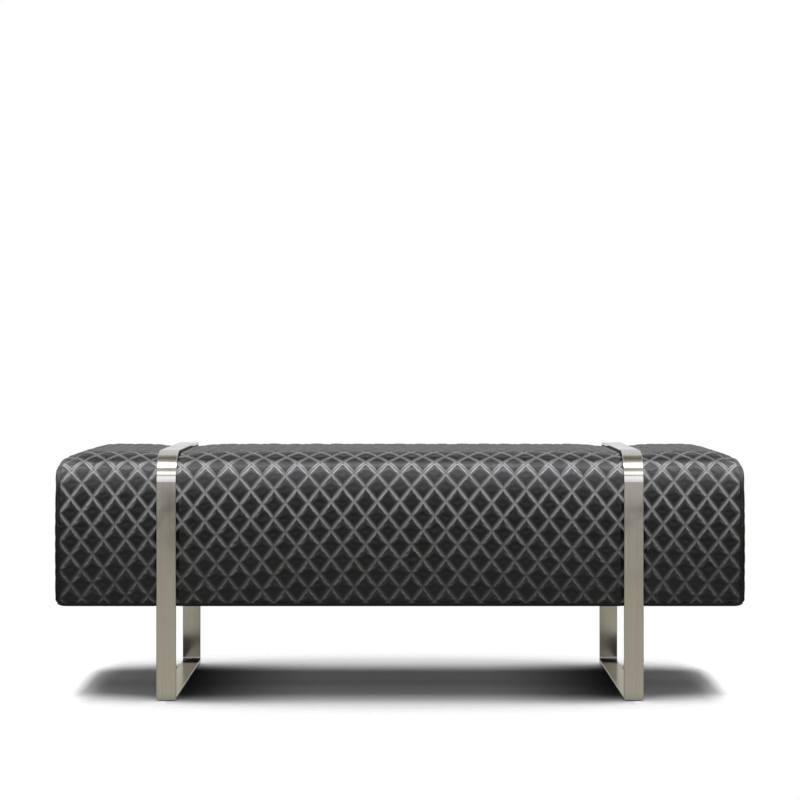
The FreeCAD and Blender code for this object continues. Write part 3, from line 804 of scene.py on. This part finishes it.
def seam_highlight_paint(tree, u, v, nearer, raised):
    """How much painted highlight quilted leather takes: a soft pale band along each seam, a painted
    highlight with a fine dark line in it, and a fainter painted reflection above the seam. Over the
    long edges two painted highlights on the lips take the band's place. It is strongest high up the
    front, where the light falls, and weak on the seat. nearer is the distance from the nearest
    seam, as a share of the gap between seams, and raised the height over the floor."""
    # Painted highlight: a pale band along each seam.
    band = product(tree, spread(tree, nearer, 0.0, 0.132, 1.0, 0.0),
                   spread(tree, nearer, 0.004, 0.014, 0.3, 1.0))
    # Painted reflection: a faint pale glow above each seam.
    above = calc(tree, "MINIMUM", calc(tree, "FRACT", u),
                 calc(tree, "SUBTRACT", 1.0, calc(tree, "FRACT", v)))
    band = calc(tree, "MAXIMUM", band, spread(tree, above, 0.04, 0.26, 0.17, 0.0))
    # Painted highlights on the two lips of each seam over the long edges.
    lips = product(tree, spread(tree, nearer, 0.020, 0.060, 0.42, 1.0),
                   spread(tree, nearer, 0.075, 0.150, 0.8, 0.0))
    parted = product(tree, calc(tree, "SUBTRACT", lips, band),
                     spread(tree, raised, 0.455, 0.470), spread(tree, raised, 0.490, 0.480))
    # Painted light: the highlights are scaled by height, strongest high up the front and weaker low
    # down and on the seat.
    return product(tree, calc(tree, "ADD", band, parted),
                   spread(tree, raised, 0.20, 0.46, 0.19, 1.0),
                   spread(tree, raised, 0.477, 0.487, 1.0, 0.38),
                   spread(tree, raised, 0.34, 0.44, 0.8, 1.0))


def leather(name, quilted, gloss=0.27):
    """Semi-matt black leather. On quilted pieces a painted sheen makes it greyer over the long
    edges and on the seat, painted highlights make it pale along the stitching, and beside the seams
    it is drawn into puckers."""
    material, tree, shader, place = start_material(name, Specular_IOR_Level=gloss)
    here = place["Object"]
    grain = add(tree, "ShaderNodeGroup", {"node_tree": leather_grain}, Place=here)
    height, cloud = grain.outputs
    colour = blend_colours(tree, spread(tree, cloud, 0.35, 0.7), DARK_LEATHER, PALE_LEATHER)
    rough = spread(tree, cloud, 0.3, 0.7, 0.27, 0.34)
    normal = bump(tree, height, 0.00004, 0.4)
    if quilted:
        u, v, _ = apart(tree, place["UV"])
        nearer = calc(tree, "MINIMUM", *(calc(tree, "PINGPONG", part, 0.5) for part in (u, v)))
        raised = apart(tree, here)[2]
        # Painted sheen: the arcs of the long edges and the seat are painted greyer where they catch
        # the light.
        edges = product(tree, spread(tree, raised, 0.412, 0.452),
                        spread(tree, raised, 0.490, 0.480))
        painted_sheen = calc(tree, "MAXIMUM", edges, spread(tree, raised, 0.490, 0.498, 0.0, 0.18))
        colour = blend_colours(tree, painted_sheen, colour, SHEEN_PAINT_GREY)
        # Painted highlights along the seams, faded out near the edges of the wrap and the panels.
        highlight_share = add(tree, "ShaderNodeAttribute", {"attribute_name": "highlight_share"}).outputs["Fac"]
        patchy = spread(tree, cloud, 0.3, 0.65, 0.85, 1.0)
        painted_highlights = product(tree, seam_highlight_paint(tree, u, v, nearer, raised), patchy, highlight_share)
        colour = blend_colours(tree, painted_highlights, colour, SEAM_HIGHLIGHT_GREY)
        pucker = product(tree, noise(tree, here, 210.0, 2.0),
                         spread(tree, nearer, 0.0, 0.16, 1.0, 0.0))
        normal = bump(tree, pucker, 0.0005, 0.6, Normal=normal)
    feed(tree, shader, Base_Color=colour, Roughness=rough, Normal=normal)
    return material


def brushed_steel(name, level=0.66, roughness=0.15, anisotropic=0.75):
    """Satin steel brushed along the bar, so that its gloss spreads across it, faintly smudged."""
    material, tree, shader, place = start_material(name, Metallic=1.0, Anisotropic=anisotropic)
    marks = add(tree, "ShaderNodeGroup", {"node_tree": brushing}, Place=place["Object"])
    streak, long_streak, smudge = marks.outputs
    colour = blend_colours(tree, long_streak, grey(level * 0.86, STEEL_WARMTH),
                           grey(level * 1.08, STEEL_WARMTH))
    feed(tree, shader, Base_Color=colour, Normal=bump(tree, streak, 0.00003, 0.35),
         Roughness=spread(tree, smudge, 0.3, 0.7, roughness - 0.04, roughness + 0.05),
         Tangent=add(tree, "ShaderNodeCombineXYZ", X=1.0, Y=0.02).outputs[0])
    return material


def plain_finish(name, first, second, scale, roughness, metallic=0.0, depth=0.0001):
    """A finish of two colours in slow clouds with a fine bump, for the hidden pieces."""
    material, tree, shader, place = start_material(name, Roughness=roughness, Metallic=metallic)
    cloud = noise(tree, place["Object"], scale, 5.0)
    feed(tree, shader, Base_Color=blend_colours(tree, cloud, first, second),
         Normal=bump(tree, cloud, depth, 0.5))
    return material


def wood(name, first, second, fineness):
    """Sawn wood with its grain along X: two layers of noise drawn out along the board."""
    material, tree, shader, place = start_material(name, Roughness=0.6)
    drawn = stretched(tree, place["Object"], (0.05, 1.0, 1.0))
    pores = noise(tree, drawn, fineness * 14, 2.0)
    share = calc(tree, "MULTIPLY_ADD", noise(tree, drawn, fineness, 3.0, Distortion=0.6), 0.7,
                 product(tree, pores, 0.3))
    colour = blend_colours(tree, spread(tree, share, 0.35, 0.65), first, second)
    feed(tree, shader, Base_Color=colour, Normal=bump(tree, pores, 0.0003, 0.4))
    return material


quilted_leather = leather("quilted leather", True)
plain_leather = leather("plain leather", False, gloss=0.12)
thread = plain_finish("thread", grey(0.010), grey(0.022), 2000, 0.4)
steel = brushed_steel("brushed steel")
weld_steel = brushed_steel("dressed weld", level=0.45, roughness=0.38, anisotropic=0.2)
zinc = plain_finish("bright zinc", grey(0.5), grey(0.62), 60, 0.35, 1.0)
yellow_zinc = plain_finish("yellow zinc", (0.55, 0.44, 0.2, 1), (0.66, 0.55, 0.3, 1), 60, 0.35, 1.0)
plywood = wood("plywood", (0.46, 0.31, 0.17, 1), (0.66, 0.49, 0.30, 1), 22)
softwood = wood("softwood", (0.56, 0.37, 0.19, 1), (0.74, 0.57, 0.35, 1), 60)
foam = plain_finish("foam", (0.70, 0.66, 0.52, 1), (0.78, 0.75, 0.62, 1), 900, 0.9, depth=0.0004)
glide_plastic = plain_finish("glide plastic", grey(0.02), grey(0.03), 300, 0.5)
lining = plain_finish("lining", grey(0.012), grey(0.02), 1500, 0.85)

# ---- the object ----
dress(wrap_mesh(), quilted_leather, "quilted_leather", "quilted_wrap")
for label, side in (("left", -1), ("right", 1)):
    panel = panel_mesh(label + "_quilted_end", side)
    dress(panel, quilted_leather, "quilted_leather", label + "_end_panel")
dress(border_mesh(), plain_leather, "border_leather", "base_border")
dress(quilting_thread(), thread, "quilted_leather")
for node in ("seat_foam", "front_foam", "rear_foam", "left_end_foam", "right_end_foam"):
    dress(foam_mesh(node.replace("foam", "pad"), node), foam, "foam", node)
sheet = dress(lining_mesh(), lining, "dust_cloth", "dust_cloth")
dress(staples_mesh(), zinc, "fixing_steel")

finishes = {
    "brushed_bar": steel, "weld_metal": weld_steel, "fixing_steel": zinc,
    "screw_steel": yellow_zinc, "plywood": plywood, "softwood": softwood, "foam": foam,
    "glide_plastic": glide_plastic, "dust_cloth": lining,
}
slot_of = {row["node"]: row["material_slot"] for row in frame["record"]["subparts"]}
for name, node in nodes.items():
    finish = finishes.get(slot_of[name])
    if finish:
        node.data.materials.clear()
        node.data.materials.append(finish)

# ---- floor, light and camera ----
def of_ray(tree, fact):
    """A fact about the ray that looks: 1 where it is of a kind, or how often it was mirrored."""
    return tree.nodes.new("ShaderNodeLightPath").outputs[fact]


def levels(tree, value, *stops):
    """Grey levels set out along a value: (place, level) pairs, mixed in straight steps."""
    made = add(tree, "ShaderNodeFloatCurve", Value=value)
    curve = made.mapping.curves[0]
    low, high = stops[0], stops[-1]
    curve.points[0].location, curve.points[1].location = low, high
    for stop in stops[1:-1]:
        curve.points.new(*stop)
    for point in curve.points:
        point.handle_type = "VECTOR"
    made.mapping.update()
    return made.outputs[0]


def studio_world():
    """White for the camera. Mirrored, softboxes stand one over another in front, the highest by
    far the brightest, and two more stand obliquely in front. The sides and the zenith are dim and
    the rear is pale. What is mirrored twice is dimmer, and everything else gets an even fill."""
    world = bpy.data.worlds.new("studio")
    bpy.context.scene.world = world
    world.use_nodes = True
    tree = world.node_tree
    x, y, z = apart(tree, tree.nodes.new("ShaderNodeTexCoord").outputs["Generated"])
    height = calc(tree, "MULTIPLY_ADD", z, 0.5, 0.5)
    front = levels(tree, height, (0.0, 0.085), (0.36, 0.06), (0.415, 0.042), (0.436, 0.043),
                   (0.446, 0.034), (0.4535, 0.017), (0.4560, 0.009), (0.4625, 0.004),
                   (0.4650, 0.045), (0.475, 0.088), (0.52, 0.092), (0.57, 0.130), (0.645, 0.130),
                   (0.675, 0.058), (0.695, 0.058), (0.725, 0.190), (0.775, 0.190), (0.81, 0.050),
                   (0.89, 0.050), (0.915, HIGH_SOFTBOX), (0.957, HIGH_SOFTBOX), (0.969, 0.110),
                   (0.982, 0.062), (0.995, 0.028), (1.0, 0.016))
    rear = levels(tree, height, (0.0, 0.085), (0.545, 0.080), (0.57, 0.046), (0.61, 0.046),
                  (0.64, 0.080), (0.935, 0.078), (0.965, 0.045), (0.985, 0.020), (1.0, 0.016))
    behind = spread(tree, y, -0.12, 0.12)
    aside = calc(tree, "ABSOLUTE", x)
    oblique = product(tree, spread(tree, aside, 0.40, 0.55), spread(tree, y, 0.1, -0.1),
                      spread(tree, z, 0.22, 0.36), spread(tree, z, 0.9, 0.75), SIDE_SOFTBOX)
    mixed = calc(tree, "MULTIPLY_ADD", rear, behind, calc(
        tree, "MULTIPLY_ADD", front, calc(tree, "SUBTRACT", 1.0, behind), oblique))
    sides = product(tree, spread(tree, aside, 0.80, 0.92), spread(tree, z, 0.6, 0.4))
    times = of_ray(tree, "Glossy Depth")
    mirrored = product(tree, mixed, calc(tree, "MULTIPLY_ADD", sides, -0.75, 1.0),
                       spread(tree, times, 1.0, 2.0, MIRRORED, MIRRORED_TWICE))
    warm = blend_colours(tree, spread(tree, mirrored, 0.4, 0.8), (1.04, 1.0, 0.80, 1),
                         (1, 1, 1.02, 1))
    tinted = add(tree, "ShaderNodeVectorMath", {"operation": "SCALE"}, Vector=warm, Scale=mirrored)
    colour = blend_colours(tree, of_ray(tree, "Is Glossy Ray"), grey(FILL), tinted.outputs[0])
    colour = blend_colours(tree, of_ray(tree, "Is Camera Ray"), colour, grey(1.0))
    feed(tree, tree.nodes["Background"], Color=colour)


def floor():
    """White floor that fades out into its surroundings and isn't seen from below. To the camera it
    is painted whiter beyond the ends of the bench, which cuts off the shadow's ends, and it carries
    a
    painted shadow: nearly black on the inner side of both foot bars and a little darker in the
    front half of the shadow."""
    bpy.ops.mesh.primitive_plane_add(size=12)
    plane = bpy.context.object
    plane.name = "floor"
    material, tree, shader, place = start_material("floor")
    tree.nodes.remove(shader)
    x, y, _ = apart(tree, place["Object"])
    aside = calc(tree, "ABSOLUTE", x)
    # Painted light: whiter beyond the bench's ends, to cut off the shadow there.
    white = blend_colours(tree, spread(tree, aside, 0.62, 0.70), grey(FLOOR_WHITE),
                          grey(FLOOR_WHITE * 2.6))
    # Painted shadow: nearly black beside the inner side of each foot bar and darker under the front
    # half.
    inner_side = BAR_X - BAR_HALF
    painted_shadow_by_feet = product(
        tree, spread(tree, aside, inner_side - 0.30, inner_side + 0.03, 0.0, 0.95),
        spread(tree, aside, BAR_X + 0.005, BAR_X - 0.005),
        spread(tree, y, -0.30, -0.14), spread(tree, y, 0.26, 0.12))
    painted_shadow_front = product(tree, spread(tree, y, 0.06, -0.04), spread(tree, y, -0.28, -0.20),
                         spread(tree, aside, 0.67, 0.61, 0.0, 0.34))
    for darkened in (painted_shadow_by_feet, painted_shadow_front):
        white = blend_colours(tree, darkened, white, grey(0.0))
    # Painted shade in reflections: mirrored, the floor is darker and warmer than the light it
    # throws back.
    shade = blend_colours(tree, of_ray(tree, "Is Glossy Ray"), grey(0.85, 0.02), grey(0.45, 0.06))
    shade = blend_colours(tree, of_ray(tree, "Is Camera Ray"), shade, white)
    far = calc(tree, "SQRT", calc(
        tree, "ADD", calc(tree, "POWER", calc(tree, "DIVIDE", x, FLOOR_STRETCH), 2.0),
        calc(tree, "POWER", y, 2.0)))
    below = tree.nodes.new("ShaderNodeNewGeometry").outputs["Backfacing"]
    mixed = add(tree, "ShaderNodeMixShader",
                Fac=calc(tree, "MAXIMUM", spread(tree, far, *FLOOR_FADE), below))
    put(tree, mixed.inputs[1], add(tree, "ShaderNodeBsdfDiffuse", Color=shade).outputs[0])
    put(tree, mixed.inputs[2], tree.nodes.new("ShaderNodeBsdfTransparent").outputs[0])
    feed(tree, tree.nodes["Material Output"], Surface=mixed.outputs[0])
    plane.data.materials.append(material)


def soft_lamp(name, place, target, width, height, strength):
    """A rectangular lamp of this radiance that faces the target and is left out of reflections."""
    lamp = bpy.data.lights.new(name, "AREA")
    lamp.shape, lamp.size, lamp.size_y = "RECTANGLE", width, height
    lamp.energy = strength * width * height * math.pi
    box = bpy.data.objects.new(name, lamp)
    bpy.context.scene.collection.objects.link(box)
    box.location = place
    box.rotation_euler = (Vector(target) - Vector(place)).to_track_quat("-Z", "Y").to_euler()
    box.visible_glossy = False


def camera():
    """Level camera in front of the bench, shifted to put the horizon at its row."""
    data = bpy.data.cameras.new("camera")
    data.sensor_width = 36.0
    data.lens = FOCAL_PIXELS / PICTURE_SIDE * data.sensor_width
    data.shift_y = (HORIZON_ROW - PICTURE_SIDE / 2) / PICTURE_SIDE
    view = bpy.data.objects.new("camera", data)
    view.location = (0, CAMERA_Y, CAMERA_Z)
    view.rotation_euler = (math.pi / 2, 0, 0)
    bpy.context.scene.collection.objects.link(view)
    bpy.context.scene.camera = view


studio_world()
floor()
soft_lamp("ceiling", (0, 1.0, 20), (0, 0, 0), 10.0, 20.0, 6.4)
soft_lamp("front lamp", (0, -2.2, 1.9), (0, 0, 0.35), 3.0, 1.2, 1.0)
camera()
bpy.context.scene.view_settings.view_transform = "Standard"
